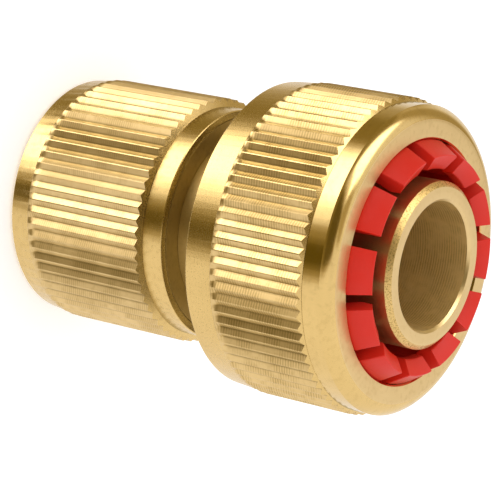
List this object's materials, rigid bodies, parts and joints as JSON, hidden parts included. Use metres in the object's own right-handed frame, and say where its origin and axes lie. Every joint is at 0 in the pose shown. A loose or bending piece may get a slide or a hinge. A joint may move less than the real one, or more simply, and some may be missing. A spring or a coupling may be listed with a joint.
{
  "type": "hose waterstop connector",
  "caption": "Brass hose coupling with a push-on socket, a ridged release sleeve, a ridged clamp nut, a slotted plastic collet and a spring valve that stops the water.",
  "frame": {"origin": "on the axis, at the socket face that the part stands on", "axes": "+Z along the axis, from the socket end towards the hose tail; +X through lock_ball_1 and through the middle of a collet finger"},
  "size_m": [0.0362, 0.0362, 0.05],
  "materials": {
    "brass": "satin turned",
    "red_plastic": "semi-gloss moulded",
    "steel": "bright",
    "valve_plastic": "moulded",
    "rubber": "matte"
  },
  "bodies": {
    "body": {"socket_body": "brass", "tail_body": "brass", "front_ring": "steel", "spring_washer": "brass", "valve_guide": "valve_plastic", "body_seal": "rubber"},
    "spring": {"sleeve_spring": "steel"},
    "sleeve": {"release_sleeve": "brass"},
    "valve": {"valve_pusher": "valve_plastic", "valve_plunger": "valve_plastic", "valve_seal": "rubber", "valve_spring": "steel"},
    "collet": {"collet": "red_plastic"},
    "nut": {"clamp_nut": "brass"},
    "ball_1": {"lock_ball_1": "steel"},
    "ball_2": {"lock_ball_2": "steel"},
    "ball_3": {"lock_ball_3": "steel"},
    "ball_4": {"lock_ball_4": "steel"}
  },
  "joints": [
    {"name": "sleeve_slide", "type": "slide", "parent": "body", "child": "spring", "axis": [0, 0, 1], "range_m": [0, 0.004], "stiffness_N_per_m": 1200, "springref_m": -0.006, "deforming": ["sleeve_spring"]},
    {"name": "sleeve_spin", "type": "hinge", "parent": "spring", "child": "sleeve", "pos_m": [0, 0, 0.011], "axis": [0, 0, 1], "continuous": true},
    {"name": "ball_1_slide", "type": "slide", "parent": "body", "child": "ball_1", "axis": [1, 0, 0], "range_m": [0, 0.001]},
    {"name": "ball_2_slide", "type": "slide", "parent": "body", "child": "ball_2", "axis": [0, 1, 0], "range_m": [0, 0.001]},
    {"name": "ball_3_slide", "type": "slide", "parent": "body", "child": "ball_3", "axis": [-1, 0, 0], "range_m": [0, 0.001]},
    {"name": "ball_4_slide", "type": "slide", "parent": "body", "child": "ball_4", "axis": [0, -1, 0], "range_m": [0, 0.001]},
    {"name": "valve_slide", "type": "slide", "parent": "body", "child": "valve", "axis": [0, 0, 1], "range_m": [0, 0.0032], "stiffness_N_per_m": 500, "springref_m": -0.005, "deforming": ["valve_spring"]},
    {"name": "nut_travel", "type": "slide", "parent": "body", "child": "collet", "axis": [0, 0, 1], "range_m": [0, 0.005]},
    {"name": "nut_turn", "type": "hinge", "parent": "collet", "child": "nut", "pos_m": [0, 0, 0.038], "axis": [0, 0, 1], "range_deg": [0, 900]}
  ],
  "couplings": [
    {"joint": "ball_1_slide", "follows": "sleeve_slide", "ratio": 0.25},
    {"joint": "ball_2_slide", "follows": "sleeve_slide", "ratio": 0.25},
    {"joint": "ball_3_slide", "follows": "sleeve_slide", "ratio": 0.25},
    {"joint": "ball_4_slide", "follows": "sleeve_slide", "ratio": 0.25},
    {"joint": "nut_travel", "follows": "nut_turn", "m_per_rad": 0.00031831}
  ]
}
